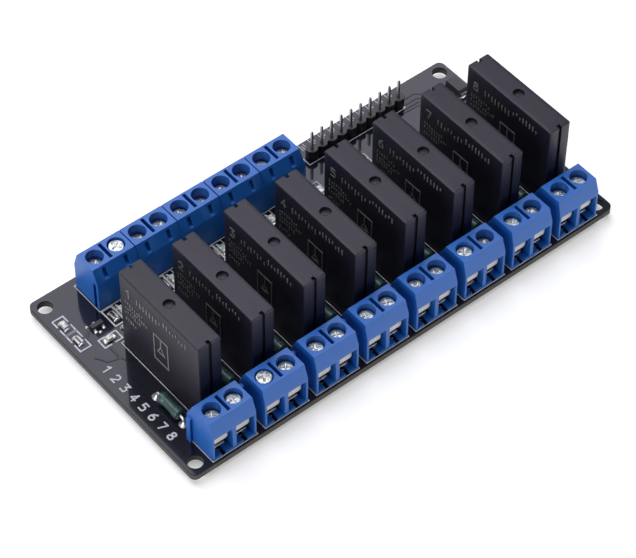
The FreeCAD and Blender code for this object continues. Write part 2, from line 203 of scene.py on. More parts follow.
def finished(piece, nodes=()):
    """A piece rides on the one body, and may stand for CAD nodes."""
    bpy.context.scene.collection.objects.link(piece)
    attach(piece, "root")
    if nodes:
        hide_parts(*nodes)
    return piece


def joined(name, shapes):
    """One mesh from shapes, each an array of points and a list of arrays of faces."""
    faces, start = [], 0
    for points, groups in shapes:
        for group in groups:
            faces += (group + start).tolist()
        start += len(points)
    mesh = bpy.data.meshes.new(name)
    mesh.from_pydata(np.concatenate([points for points, groups in shapes]), [], faces)
    return mesh


def make(name, shapes, finish, nodes=()):
    """One smooth-shaded piece from shapes. Edges that turn by more than 35 degrees stay sharp."""
    mesh = joined(name, shapes)
    mesh.materials.append(finish.material)
    mesh.shade_smooth()
    mesh.set_sharp_from_angle(angle=math.radians(35.0))
    return finished(bpy.data.objects.new(name, mesh), nodes)


def ribbon(points, width, low, high, draft=0.0):
    """A flat band of one width along a line of (x, y) points. At each point the side step is square
    to the mean of the two directions, and longer by one over the cosine of half the turn. The top
    is narrower than the foot by the draft on each side."""
    line = np.asarray(points, float)
    steps = np.diff(line, axis=0)
    steps /= np.linalg.norm(steps, axis=1)[:, None]
    before, after = np.vstack([steps[:1], steps]), np.vstack([steps, steps[-1:]])
    along = before + after
    along /= np.linalg.norm(along, axis=1)[:, None]
    side = np.stack([-along[:, 1], along[:, 0]], -1)
    side *= width / 2 / np.clip((along * before).sum(1), 0.4, 1.0)[:, None]
    slim = side * (1 - 2 * draft / width)
    corners = [np.column_stack([edge, np.full(len(line), level)])
               for edge, level in ((line + side, low), (line - side, low), (line - slim, high),
                                   (line + slim, high))]
    return skin(np.stack(corners[::-1], axis=1))


def boxes(nodes):
    """The middles, low corners and high corners of nodes, as arrays."""
    corners = np.array([[list(corner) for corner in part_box(node)] for node in nodes])
    return corners.mean(1), corners[:, 0], corners[:, 1]


channels = range(1, 9)
relay_nodes = ["relay_" + str(channel) for channel in channels]
relay_middle, relay_low, relay_high = boxes(relay_nodes)
output_nodes = ["output_terminal_" + str(channel) for channel in channels]
output_low, output_high = boxes(output_nodes)[1:]
input_nodes = ["input_terminal_" + str(block) for block in range(1, 6)]
input_low, input_high = boxes(input_nodes)[1:]
header_low, header_high = [np.array(corner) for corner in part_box("pin_header_base")]
pole_pitch, header_pitch, header_pins = 5.08 * MM, 2.54 * MM, 10
wire_face = 3.45 * MM
output_x = output_high[:, 0] - pole_pitch
output_y = output_low[0, 1] + wire_face
input_x = input_low[:, 0] + pole_pitch
input_y = input_high[0, 1] - wire_face
fuse_middle, fuse_low, fuse_high = boxes(["fuse_resistor_" + str(channel) for channel in channels])
foil_low, foil_high = board_top - sunk, board_top + foil_height
under_high, under_low = board_low.z + sunk, board_low.z - foil_height
near_solder_y, far_solder_y = fuse_low[0, 1] - 1.4 * MM, fuse_high[0, 1] + 1.2 * MM
first_lead_y = relay_low[0, 1] + 1.9 * MM
contact_y = output_y + 0.5 * MM
tracks = []
for x, fuse_x, pole_x in zip(relay_middle[:, 0], fuse_middle[:, 0], output_x):
    tracks.append(ribbon([(fuse_x, near_solder_y), (pole_x - 1.0 * MM, output_high[0, 1] - 1.2 * MM)],
                         load_width, foil_low, foil_high))
    tracks.append(ribbon([(fuse_x, far_solder_y), (x, far_solder_y)], load_width, under_low, under_high))
    tracks.append(ribbon([(x, first_lead_y), (pole_x + pole_pitch / 2, contact_y)],
                         load_width, under_low, under_high))
corner_cut = 0.6 * MM
lane, lane_pitch = 1.2 * MM, 0.55 * MM
for pin in range(header_pins):
    pin_x = header_low[0] + (pin + 0.5) * header_pitch
    bend = header_low[1] - lane - lane_pitch * pin
    goal = relay_middle[min(pin, len(relay_nodes) - 1), 0] + (0.6 + 0.3 * pin) * MM
    tracks.append(ribbon([(pin_x, header_low[1] + 1.0 * MM), (pin_x, bend + corner_cut),
                          (pin_x - corner_cut, bend), (goal + corner_cut, bend),
                          (goal, bend - corner_cut), (goal, relay_high[0, 1] - 1.0 * MM)],
                         signal_width, under_low, under_high))
left_end_lines = [[(-47.4, 13.6), (-48.55, 12.3), (-48.7, 10.6)],
                  [(-46.4, 7.7), (-46.5, 4.8), (-45.5, 2.8), (-43.6, 1.8)],
                  [(-50.3, 7.6), (-49.65, 6.8), (-48.9, 5.3), (-46.7, 4.6)]]
header_lines = [[(36.0, 22.5), (42.25, 22.5), (43.6, 21.3), (43.6, 17.0)],
                [(36.0, 21.25), (41.7, 21.2), (42.6, 20.6), (42.7, 17.0)],
                [(36.0, 20.3), (41.5, 20.2), (41.9, 19.8), (41.9, 17.0)],
                [(36.0, 19.65), (40.7, 19.4), (41.1, 19.0), (41.1, 17.0)]]
for line in left_end_lines + header_lines:
    tracks.append(ribbon(np.array(line) * MM, signal_width, foil_low, foil_high, foil_draft))
make("foil_tracks", tracks, mask)

# Printed legend: white ink screened on the mask. It rings each part's place, numbers the channels
# along the left end and marks the header's pins with plain ticks.
ink_width, bold_width, digit_width, stripe_width = 0.15 * MM, 0.3 * MM, 0.31 * MM, 0.42 * MM
ink_low, ink_high = board_top - 0.005 * MM, foil_high + 0.015 * MM
ink_colour, ink_worn = (0.60, 0.62, 0.65), (0.34, 0.35, 0.38)
ink = Finish("legend_ink", Roughness=0.6)
wear = ink.noise(4000.0, 4.0, 0.7)
ink.feed("Base Color", ink.blend(ink.ramp(wear, 0.32, 0.6), ink_worn, ink_colour))
ink.emboss(wear, 0.004 * MM)


def frame_line(x0, x1, y0, y1, width=ink_width):
    """A printed rectangle, its line closed in the middle of one side."""
    middle = (x0 + x1) / 2
    return ribbon([(middle, y0), (x1, y0), (x1, y1), (x0, y1), (x0, y0), (middle - 1e-6, y0)], width,
                  ink_low, ink_high)


def printed(points, width=ink_width):
    """An open printed line."""
    return ribbon(points, width, ink_low, ink_high)


def strokes(points, width):
    """Bars from each point to the next, longer by half a width at both ends, each a micron higher."""
    bars = []
    for step, (start, end) in enumerate(zip(np.array(points[:-1]), np.array(points[1:]))):
        reach = (end - start) / np.linalg.norm(end - start) * width / 2
        bars.append(ribbon([start - reach, end + reach], width, ink_low, ink_high + step * 1e-6))
    return bars


digit_strokes = {1: [(0.1, 0.8), (0.4, 1.0), (0.4, 0.0)],
                 2: [(0.0, 0.85), (0.15, 1.0), (0.45, 1.0), (0.6, 0.85), (0.6, 0.6), (0.0, 0.0), (0.6, 0.0)],
                 3: [(0.0, 1.0), (0.6, 1.0), (0.25, 0.6), (0.6, 0.45), (0.6, 0.12), (0.45, 0.0), (0.0, 0.0)],
                 4: [(0.45, 0.0), (0.45, 1.0), (0.0, 0.3), (0.65, 0.3)],
                 5: [(0.6, 1.0), (0.05, 1.0), (0.0, 0.6), (0.45, 0.6), (0.6, 0.45), (0.6, 0.12), (0.45, 0.0),
                     (0.0, 0.0)],
                 6: [(0.5, 1.0), (0.15, 0.75), (0.0, 0.4), (0.0, 0.15), (0.15, 0.0), (0.45, 0.0), (0.6, 0.15),
                     (0.6, 0.4), (0.45, 0.55), (0.02, 0.5)],
                 7: [(0.0, 1.0), (0.6, 1.0), (0.2, 0.0)],
                 8: [(0.3, 0.55), (0.05, 0.7), (0.05, 0.88), (0.2, 1.0), (0.4, 1.0), (0.55, 0.88),
                     (0.55, 0.7), (0.0, 0.35), (0.0, 0.12), (0.15, 0.0), (0.45, 0.0), (0.6, 0.12),
                     (0.6, 0.35), (0.3, 0.55)]}
outline_gap, block_gap = 0.3 * MM, 0.14 * MM
legend = []
for low, high in zip(relay_low, relay_high):
    legend.append(frame_line(low[0] - outline_gap, high[0] + outline_gap, low[1] - outline_gap,
                             high[1] + outline_gap))
for x in output_x:
    legend.append(frame_line(x - pole_pitch - block_gap, x + pole_pitch + block_gap,
                             output_low[0, 1] - block_gap, output_high[0, 1] + block_gap))
legend.append(frame_line(input_low[0, 0] - outline_gap, input_x[-1] + pole_pitch + outline_gap,
                         input_low[0, 1] - outline_gap, input_high[0, 1] + outline_gap))
header_left_x, header_near_y = header_low[0] - 0.6 * MM, header_low[1] - 0.4 * MM
legend.append(printed([(header_left_x, header_high[1] + 0.4 * MM), (header_left_x, header_near_y),
                       (header_high[0] - 0.3 * MM, header_near_y)]))
power_x, power_spans, bracket_gap = (-51.45, -49.0), ((15.3, 19.72), (10.45, 15.2)), 0.35
for y0, y1 in power_spans:
    middle_y = (y0 + y1) / 2
    for end, reach in ((y0, middle_y - bracket_gap), (y1, middle_y + bracket_gap)):
        bracket = [(power_x[0], reach), (power_x[0], end), (power_x[1], end), (power_x[1], reach)]
        legend.append(printed(np.array(bracket) * MM, bold_width))
status_y = (8.2, 10.5)
for end, reach in ((-47.3, -45.7), (-43.2, -44.9)):
    bracket = [(reach, status_y[0]), (end, status_y[0]), (end, status_y[1]), (reach, status_y[1])]
    legend.append(printed(np.array(bracket) * MM, bold_width))
polarity_arc = np.array([(1.67, 15.6), (1.92, 15.0), (2.05, 14.3), (2.05, 13.5), (1.94, 12.8),
                         (1.72, 12.2)]) * MM
chip_frames = ((-1.4, 0.9, 11.3, 15.9, bold_width), (1.15, 3.1, 11.0, 16.05, ink_width))
for x in relay_middle[:, 0]:
    for x0, x1, y0, y1, width in chip_frames:
        legend.append(frame_line(x + x0 * MM, x + x1 * MM, y0 * MM, y1 * MM, width))
    legend.append(printed(polarity_arc + (x, 0.0), stripe_width))
digit_height, digit_step = 1.7 * MM, 2.9 * MM
digits_x, first_digit_y = board_low.x + 1.75 * MM, relay_middle[0, 1] + 9.5 * MM
for row, digit in enumerate(channels):
    digit_y = first_digit_y - row * digit_step
    legend += strokes([(digits_x + rise * digit_height, digit_y - across * digit_height)
                       for across, rise in digit_strokes[digit]], digit_width)
tick_foot = header_high[1] + 0.8 * MM
for pin in range(header_pins):
    pin_x = header_low[0] + (pin + 0.5) * header_pitch
    for across, length in ((-0.45 * MM, 2.0 * MM), (0.05 * MM, 1.4 * MM), (0.55 * MM, 1.7 * MM)):
        legend.append(printed([(pin_x + across, tick_foot), (pin_x + across, tick_foot + length)]))
make("printed_legend", legend, ink)

# Relays: slim sealed cases of black glass-filled plastic, with a groove down the middle of each end
# and an ejector dimple on top. Each is potted, and leans a little as it was soldered in.
case_colour = (0.0078, 0.0070, 0.0140)
case_round, case_corner, foot_chamfer = 0.25 * MM, 0.35 * MM, 0.05 * MM
dimple_radius, dimple_depth = 1.14 * MM, 0.75 * MM
notch_height, notch_depth = 0.7 * MM, 0.95 * MM
groove_half, groove_depth = 0.4 * MM, 0.45 * MM
top_share, top_margin = 0.72, 2.2 * MM
arc_steps = np.linspace(0, math.pi / 2, 5)
leans = np.array([(0.25, 0.43), (-0.26, -0.36), (0.05, 0.1), (0.0, -0.1), (0.1, 0.0), (0.0, 0.1),
                  (-0.05, 0.0), (0.1, 0.05)]) * MM


def case_outline(half_x, half_y, groove):
    """One ring of the case: four quarters, each a corner arc between points along its two sides,
    with a square groove in the middle of both ends. Every ring has the same count of points."""
    side = np.column_stack([np.full(5, half_x), np.linspace(0, half_y - case_corner, 6)[:5]])
    arc = np.column_stack([half_x - case_corner + case_corner * np.cos(arc_steps),
                           half_y - case_corner + case_corner * np.sin(arc_steps)])
    end_x = np.linspace(half_x - case_corner, groove_half, 3)[1:]
    end = np.column_stack([end_x, np.full(2, half_y)])
    slot = np.array([[groove_half, half_y - groove], [0.0, half_y - groove]])
    quarter = np.vstack([side, arc, end, slot])
    mirrored = quarter[::-1] * (-1, 1)
    half = np.vstack([quarter, mirrored[1:]])
    return np.vstack([half[:-1], -half[:-1]])


def relay_case(low, high, lean):
    """Rings from the foot of the case to the bottom of its dimple: walls, the ledge where the groove
    deepens into a notch, a quarter-round top edge, a flat top, and a round rim down to a floor. The
    lean moves each point sideways by its height times a fixed slope."""
    half_x, half_y, height = (high[0] - low[0]) / 2, (high[1] - low[1]) / 2, high[2] - low[2]
    rings = []

    def ring(inset, level, groove):
        flat = case_outline(half_x - inset, half_y - inset, groove - inset)
        rings.append(np.column_stack([flat, np.full(len(flat), level)]))

    ledge = height - notch_height
    ring(foot_chamfer, 0.0, groove_depth)
    ring(0.0, foot_chamfer, groove_depth)
    for share in (0.2, 0.4, 0.6, 0.8):
        ring(0.0, ledge * share, groove_depth)
    ring(0.0, ledge, groove_depth)
    ring(0.0, ledge + 1e-6, notch_depth)
    for turn in arc_steps:
        ring(case_round * (1 - math.cos(turn)), height - case_round * (1 - math.sin(turn)), notch_depth)
    outline = rings[-1]
    inner = outline.copy()
    inner[:, :2] *= top_share
    inner[:, 1] = np.clip(inner[:, 1], top_margin - half_y, half_y - top_margin)
    rings.append(inner)
    angle = np.linspace(0, 2 * math.pi, len(outline), endpoint=False)
    around = np.column_stack([np.cos(angle), np.sin(angle)])
    for radius, level in ((dimple_radius + 0.06 * MM, 0.0), (dimple_radius, 0.06 * MM),
                          (dimple_radius - 0.03 * MM, dimple_depth - 0.08 * MM),
                          (dimple_radius - 0.12 * MM, dimple_depth), (0.45 * MM, dimple_depth),
                          (0.4 * MM, dimple_depth - 0.05 * MM), (0.15 * MM, dimple_depth - 0.06 * MM)):
        rings.append(np.column_stack([around * radius, np.full(len(outline), height - level)]))
    rings = np.array(rings)
    rings[..., :2] += rings[..., 2:] / height * lean
    return skin(rings + [(low[0] + high[0]) / 2, (low[1] + high[1]) / 2, low[2]])


case_black = Finish("relay_plastic", Specular_IOR_Level=0.38)
grain = case_black.noise(5200.0, 3.0, 0.65)
flow = case_black.noise(140.0, 4.0, 0.6, (1.0, 0.35, 1.0))
case_pale = tuple(1.5 * part for part in case_colour)
case_black.feed("Base Color", case_black.blend(flow, case_colour, case_pale))
case_black.feed("Roughness", 0.36 + flow * 0.12)
case_black.emboss(grain, 0.012 * MM)
for node, low, high, lean in zip(relay_nodes, relay_low, relay_high, leans):
    make(node.replace("relay", "relay_case"), [relay_case(low, high, lean)], case_black, [node])

# Relay marks: a laser turns the black plastic grey, so they lie in the surface. The large face
# towards the board's left end has the channel's number, some plain bars and a framed triangle.
mark_grey = Finish("laser_mark", Roughness=0.5)
mark_wear = mark_grey.noise(6000.0, 3.0, 0.7)
mark_grey.feed("Base Color", mark_grey.blend(mark_wear, (0.12, 0.12, 0.11), (0.26, 0.26, 0.24)))
mark_grey.emboss(mark_wear, 0.006 * MM)
number_size, number_place, number_width = 2.0 * MM, (2.2 * MM, 15.6 * MM), 0.26 * MM
tick_width = 0.27 * MM
tick_rows = ((5.6, 13.2, 16.0, 1.4), (13.8, 20.6, 17.2, 1.3), (1.8, 7.0, 13.2, 0.8),
             (1.8, 8.2, 11.9, 0.8), (1.8, 6.2, 10.6, 0.8), (1.8, 5.0, 8.6, 0.8))
tick_parts = ((0.0, 1.0), (0.0, 0.55), (0.5, 1.0), (0.0, 1.0))
symbol_lines = ([(10.4, 9.6), (10.4, 12.6), (14.6, 12.6), (14.6, 5.8), (10.4, 5.8), (10.4, 9.5)],
                [(12.5, 12.6), (12.5, 10.4), (11.5, 8.6), (13.5, 8.6), (12.6, 10.2)])
random = np.random.default_rng(3)
for channel, low, high, lean in zip(channels, relay_low, relay_high, leans):
    flat_marks = strokes(np.array(digit_strokes[channel]) * number_size + number_place, number_width)
    bars = []
    for start, end, level, tall in tick_rows:
        for along in np.arange(start, end, 0.35 + 0.45 * tall):
            bottom, top = tick_parts[random.integers(4)]
            bars.append([(along, level + bottom * tall), (along, level + top * tall)])
    for bar in bars + list(symbol_lines):
        flat_marks.append(ribbon(np.array(bar) * MM, tick_width, ink_low, ink_high))
    shapes = []
    for points, faces in flat_marks:
        upright = np.column_stack([low[0] - (points[:, 2] - ink_low) + sunk, high[1] - points[:, 0],
                                   low[2] + points[:, 1]])
        upright[:, :2] += (upright[:, 2:] - low[2]) / (high[2] - low[2]) * lean
        shapes.append((upright, faces))
    make("relay_mark_" + str(channel), shapes, mark_grey)

# Relay leads: flat strip of tin-plated copper, four in line under each case. They are pressed
# through the board and cut off below it.
tin = Finish("tin_plate", Metallic=1.0)
tin_cloud = tin.noise(900.0, 4.0, 0.6)
tin.feed("Base Color", tin.blend(tin_cloud, (0.60, 0.60, 0.58), (0.78, 0.78, 0.76)))
tin.feed("Roughness", 0.22 + tin_cloud * 0.2)
tin.emboss(tin_cloud, 0.01 * MM)
dress("relay_leads", tin)

# Terminal housings: blocks of satin blue nylon, moulded with two screw wells and two chambers
# each, and joined by a dovetail rail that slides into a groove of the next block.
nylon_colour = (0.010, 0.100, 0.385)
nylon_edge = 0.06 * MM
sharp_turn = math.radians(28.0)
well_radius, well_sides = 1.81 * MM, 48
well_floor, above_roof = 6.0 * MM, 12.0 * MM


def merged(node):
    """A copy of a CAD node with its loose triangles joined and its flat faces made whole."""
    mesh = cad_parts[node].data
    shape = bmesh.new()
    shape.from_mesh(mesh)
    bmesh.ops.remove_doubles(shape, verts=shape.verts, dist=1e-7)
    bmesh.ops.dissolve_limit(shape, angle_limit=math.radians(0.6), verts=shape.verts, edges=shape.edges)
    copy = bpy.data.meshes.new(node + "_form")
    shape.to_mesh(copy)
    shape.free()
    if copy.attributes.get("custom_normal"):
        copy.attributes.remove(copy.attributes["custom_normal"])
    return copy


def bevelled(piece, width):
    """Rounds a piece's sharp edges, as a mould or a cutter leaves them."""
    bevel = piece.modifiers.new("rounded", "BEVEL")
    bevel.width = width
    bevel.segments = 2
    bevel.limit_method = "ANGLE"
    bevel.angle_limit = sharp_turn
    bevel.harden_normals = True
    bevel.use_clamp_overlap = True


def coated(mesh, finish):
    """Gives a mesh its finish and smooth shading between its sharp edges."""
    mesh.materials.clear()
    mesh.materials.append(finish.material)
    mesh.shade_smooth()
    mesh.set_sharp_from_angle(angle=sharp_turn)
    return mesh


def softened(name, node, finish, width):
    """A finer copy of a CAD node, with rounded edges, that stands for it."""
    piece = bpy.data.objects.new(name, coated(merged(node), finish))
    bevelled(finished(piece, [node]), width)


nylon = Finish("blue_nylon")
nylon_flow = nylon.noise(260.0, 4.0, 0.6)
nylon_grain = nylon.noise(4500.0, 3.0, 0.6)
nylon_pale = tuple(1.25 * part for part in nylon_colour)
nylon.feed("Base Color", nylon.blend(nylon_flow, nylon_colour, nylon_pale))
nylon.feed("Roughness", 0.34 + nylon_flow * 0.12)
nylon.emboss(nylon_grain, 0.008 * MM)


def reamed(mesh, wells):
    """The housing with its wells cut round: the difference of the mesh and upright circular prisms."""
    angle = np.linspace(0, 2 * math.pi, well_sides, endpoint=False)
    circle = np.column_stack([np.cos(angle), np.sin(angle)]) * well_radius
    rings = [np.column_stack([circle, np.full(well_sides, level)]) for level in (well_floor, above_roof)]
    body = bpy.data.objects.new("housing_blank", mesh)
    cutter = bpy.data.objects.new("reamer", joined("reamer", placed(skin(rings), wells)))
    for tool in (body, cutter):
        bpy.context.scene.collection.objects.link(tool)
    cut = body.modifiers.new("ream", "BOOLEAN")
    cut.operation = "DIFFERENCE"
    cut.solver = "EXACT"
    cut.object = cutter
    cut_body = body.evaluated_get(bpy.context.evaluated_depsgraph_get())
    result = bpy.data.meshes.new_from_object(cut_body)
    bpy.data.objects.remove(body)
    bpy.data.objects.remove(cutter)
    return result


wells = [(output_x[0] + side * pole_pitch / 2, output_y, board_top) for side in (-1, 1)]
housing = coated(reamed(merged("output_terminal_1"), wells), nylon)
centre = Matrix.Translation((-output_x[0], -output_y, 0.0))
for nodes, spots, turn in ((output_nodes, [(x, output_y, 0.0) for x in output_x], 0.0),
                           (input_nodes, [(x, input_y, 0.0) for x in input_x], math.pi)):
    for node, spot in zip(nodes, spots):
        mesh = housing.copy()
        mesh.transform(Matrix.Translation(spot) @ Matrix.Rotation(turn, 4, "Z") @ centre)
        piece = bpy.data.objects.new(node.replace("terminal", "housing"), mesh)
        bevelled(finished(piece, [node]), nylon_edge)
bpy.data.meshes.remove(housing)

# Wire clamps and contacts: folded and punched from plated sheet, they sit in the chambers behind
# the windows. The front edges of the output contacts are cut bright, and show under the clamps.
edge_half, edge_low, edge_high, edge_round = 1.65 * MM, 0.5 * MM, 0.95 * MM, 0.22 * MM
edge_front, edge_back = output_y - 1.6 * MM, output_y - 1.2 * MM
nickel = Finish("nickel_plate", Metallic=1.0)
nickel_cloud = nickel.noise(1400.0, 4.0, 0.65)
nickel.feed("Base Color", nickel.blend(nickel_cloud, (0.50, 0.46, 0.41), (0.70, 0.66, 0.61)))
nickel.feed("Roughness", 0.38 + nickel_cloud * 0.24)
nickel.emboss(nickel.noise(6000.0, 2.0, 0.5, (1.0, 1.0, 0.1)), 0.008 * MM)


def brick(low, high, edge):
    """A block with rounded edges: six rings, the top and bottom ones drawn in by the edge, and each
    ring with its corners cut off."""
    (x0, y0, z0), (x1, y1, z1) = low, high

    def ring(inset, level):
        a, b = inset, inset + edge * 0.6
        flat = [(x1 - a, y0 + b), (x1 - a, y1 - b), (x1 - b, y1 - a), (x0 + b, y1 - a),
                (x0 + a, y1 - b), (x0 + a, y0 + b), (x0 + b, y0 + a), (x1 - b, y0 + a)]
        return [(x, y, level) for x, y in flat]

    part = edge * 0.3
    return skin([ring(edge, z0), ring(part, z0 + part), ring(0.0, z0 + edge), ring(0.0, z1 - edge),
                 ring(part, z1 - part), ring(edge, z1)])


for side in ("output", "input"):
    softened(side + "_clamps", side + "_wire_clamps", nickel, 0.08 * MM)
    softened(side + "_contact_plates", side + "_contacts", nickel, 0.06 * MM)
edges = []
for x in output_x:
    for pole_x in (x - pole_pitch / 2, x + pole_pitch / 2):
        edges.append(brick((pole_x - edge_half, edge_front, board_top + edge_low),
                           (pole_x + edge_half, edge_back, board_top + edge_high), edge_round))
make("contact_edges", edges, tin)

# Terminal screws: zinc-plated cheese heads with a cross recess, turned to any angle. They are run
# into the clamps' nut plates, some nearly home in their wells and some a few turns short of it.
screw_radius, screw_height, screw_edge = 1.56 * MM, 1.2 * MM, 0.2 * MM
shank_radius, tip_radius, shank_reach = 1.15 * MM, 0.7 * MM, 4.6 * MM
arm_length, arm_half, recess_depth = 1.15 * MM, 0.24 * MM, 0.2 * MM
arm_steps = 5


def cross_ring(length, half, level):
    """The outline of a cross: twelve corners, with four more points between each two."""
    quarter = np.array([(length, -half), (length, half), (half, half)])
    corners = np.vstack([quarter @ np.array([[cos, sin], [-sin, cos]])
                         for cos, sin in ((1, 0), (0, 1), (-1, 0), (0, -1))])
    share = np.arange(arm_steps)[None, :, None] / arm_steps
    line = corners[:, None] * (1 - share) + np.roll(corners, -1, axis=0)[:, None] * share
    flat = line.reshape(-1, 2)
    return np.column_stack([flat, np.full(len(flat), level)])


def screw():
    """Rings from the shank's tip to the bottom of the recess. Each round ring has its points at the
    angles of the cross outline's points, so that the rings join without a twist."""
    angle = np.arctan2(*cross_ring(arm_length, arm_half, 0.0)[:, 1::-1].T)
    around = np.column_stack([np.cos(angle), np.sin(angle), np.zeros(len(angle))])
    rings = [around * (radius, radius, 0) + (0, 0, level) for radius, level in
             ((tip_radius, -shank_reach - 0.4 * MM), (shank_radius, -shank_reach),
              (shank_radius, -screw_height), (screw_radius, -screw_height), (screw_radius, -screw_edge),
              (screw_radius - 0.3 * screw_edge, -0.3 * screw_edge), (screw_radius - screw_edge, 0.0))]
    rings.append(cross_ring(arm_length, arm_half, 0.0))
    rings.append(cross_ring(arm_length - 0.04 * MM, arm_half - 0.02 * MM, -0.06 * MM))
    rings.append(cross_ring(arm_length - 0.35 * MM, arm_half - 0.1 * MM, -recess_depth))
    rings.append(cross_ring(0.1 * MM, 0.04 * MM, -recess_depth - 0.05 * MM))
    return skin(rings)


zinc = Finish("zinc_plate", Metallic=1.0)
zinc_cloud = zinc.noise(1500.0, 4.0, 0.6)
zinc_stain = zinc.ramp(zinc.noise(2700.0, 3.0, 0.6), 0.36, 0.62)
zinc.feed("Base Color", zinc.blend(zinc_stain, (0.30, 0.33, 0.31), (0.80, 0.82, 0.80)))
zinc.feed("Roughness", 0.28 + zinc_cloud * 0.25)
zinc.emboss(zinc.noise(2600.0, 3.0, 0.7, (1.0, 0.3, 1.0)), 0.1 * MM)


def solids_of(node):
    """The low and high corner of each separate solid of a node. Points at one place become one, each
    starts with its own number, and the lowest number spreads over every face until nothing changes."""
    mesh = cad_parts[node].data
    places = np.empty(len(mesh.vertices) * 3)
    mesh.vertices.foreach_get("co", places)
    corners = np.empty(len(mesh.loops), int)
    mesh.loops.foreach_get("vertex_index", corners)
    points, same = np.unique(places.reshape(-1, 3).round(7), axis=0, return_inverse=True)
    faces = same.ravel()[corners].reshape(-1, 3)
    label, spread = None, np.arange(len(points))
    while label is None or (label != spread).any():
        label, spread = spread, spread.copy()
        np.minimum.at(spread, faces, label[faces].min(1)[:, None])
    groups = [points[label == value] for value in np.unique(label)]
    return [(group.min(0), group.max(0)) for group in groups]


random = np.random.default_rng(8)
for side in ("output", "input"):
    heads = []
    for low, high in solids_of(side + "_terminal_screws"):
        heads += placed(screw(), [((low[0] + high[0]) / 2, (low[1] + high[1]) / 2, high[2])],
                        random.uniform(0, math.pi))
    make(side + "_screws", heads, zinc, [side + "_terminal_screws"])

# Pin header: a strip of black moulded plastic, notched between its ten square plated pins, which
# are pressed through it and have dulled to grey. They are soldered under the board.
header_black = Finish("header_plastic", Roughness=0.42)
header_grain = header_black.noise(3800.0, 3.0, 0.6)
header_colours = (0.018, 0.018, 0.020), (0.030, 0.030, 0.033)
header_black.feed("Base Color", header_black.blend(header_grain, *header_colours))
header_black.emboss(header_grain, 0.01 * MM)
softened("header_strip", "pin_header_base", header_black, 0.12 * MM)
pin_grey = Finish("header_pin", Metallic=1.0)
pin_cloud = pin_grey.noise(1800.0, 4.0, 0.6)
pin_grey.feed("Base Color", pin_grey.blend(pin_cloud, (0.38, 0.37, 0.36), (0.62, 0.60, 0.57)))
pin_grey.feed("Roughness", 0.28 + pin_cloud * 0.2)
pin_grey.emboss(pin_grey.noise(7000.0, 2.0, 0.5, (1.0, 1.0, 0.08)), 0.006 * MM)
softened("header_posts", "pin_header_pins", pin_grey, 0.05 * MM)

# Fusible resistors: a ceramic rod with pressed end caps, dipped in green lacquer, so that the
# caps show as wider rounded ends. The tinned leads bend down into the board.
waist_radius, nose_length = 1.02 * MM, 0.35 * MM
cap_length, step_length = 1.25 * MM, 0.75 * MM
wire_radius, wire_bend, wire_overlap = 0.3 * MM, 0.55 * MM, 0.2 * MM
fuse_reach, cut_level = 4.15 * MM, board_low.z - 1.3 * MM
lacquer = Finish("green_lacquer", Coat_Weight=0.3, Coat_Roughness=0.3)
lacquer_cloud = lacquer.noise(700.0, 4.0, 0.6)
lacquer.feed("Base Color", lacquer.blend(lacquer_cloud, (0.018, 0.056, 0.050), (0.036, 0.092, 0.082)))
lacquer.feed("Roughness", 0.30 + lacquer_cloud * 0.16)
lacquer.emboss(lacquer.noise(1100.0, 3.0), 0.03 * MM)


def turned_along_y(profile, sides=28):
    """A body of revolution along Y from (radius, y) pairs: a circle of each radius at each y."""
    angle = np.linspace(0, 2 * math.pi, sides, endpoint=False)
    radius, along = np.array(profile).T
    x = radius[:, None] * np.cos(angle)
    z = -radius[:, None] * np.sin(angle)
    return skin(np.stack([x, np.repeat(along[:, None], sides, 1), z], -1))


def dog_bone(half_length, cap_radius):
    """The dipped body: a quarter-ellipse nose, an even cap, a smooth step by a half cosine to the
    waist, and the same mirrored."""
    nose = [(cap_radius * (0.3 + 0.7 * math.sin(turn)), -half_length + nose_length * (1 - math.cos(turn)))
            for turn in np.linspace(0.0, math.pi / 2, 7)]
    step = [(waist_radius + (cap_radius - waist_radius) * (1 + math.cos(math.pi * share)) / 2,
             -half_length + cap_length + step_length * share) for share in np.linspace(0, 1, 7)]
    half = nose + step
    return turned_along_y(half + [(radius, -along) for radius, along in half[::-1]])


def round_wire(path, radius, sides=14):
    """A tube through points in a plane of constant x: rings square to the mean direction."""
    path = np.asarray(path, float)
    step = np.diff(path, axis=0)
    step /= np.linalg.norm(step, axis=1)[:, None]
    along = np.vstack([step[:1], step]) + np.vstack([step, step[-1:]])
    along /= np.linalg.norm(along, axis=1)[:, None]
    angle = np.linspace(0, 2 * math.pi, sides, endpoint=False)
    sideways = np.array([1.0, 0.0, 0.0])
    across = np.cross(along, sideways)
    ring = np.cos(angle)[None, :, None] * sideways + np.sin(angle)[None, :, None] * across[:, None]
    return skin((path[:, None] + radius * ring)[:, ::-1])


turn = np.linspace(0, math.pi / 2, 7)
bend = np.column_stack([np.zeros(len(turn)), fuse_reach - wire_bend + wire_bend * np.sin(turn),
                        wire_bend * (np.cos(turn) - 1)])
wires, joints = [], []
for channel, middle, low, high in zip(channels, fuse_middle, fuse_low, fuse_high):
    half = (high[1] - low[1]) / 2
    body = dog_bone(half, (high[0] - low[0]) / 2)
    make("fuse_body_" + str(channel), placed(body, [middle]), lacquer,
         ["fuse_resistor_" + str(channel)])
    for side in (-1, 1):
        path = np.vstack([(0.0, half - wire_overlap, 0.0), bend, (0.0, fuse_reach, cut_level - middle[2])])
        path[:, 1] *= side
        wires.append(round_wire(path + middle, wire_radius))
        joints.append((middle[0], middle[1] + side * fuse_reach))
make("fuse_wires", wires, tin, ["fuse_resistor_leads"])

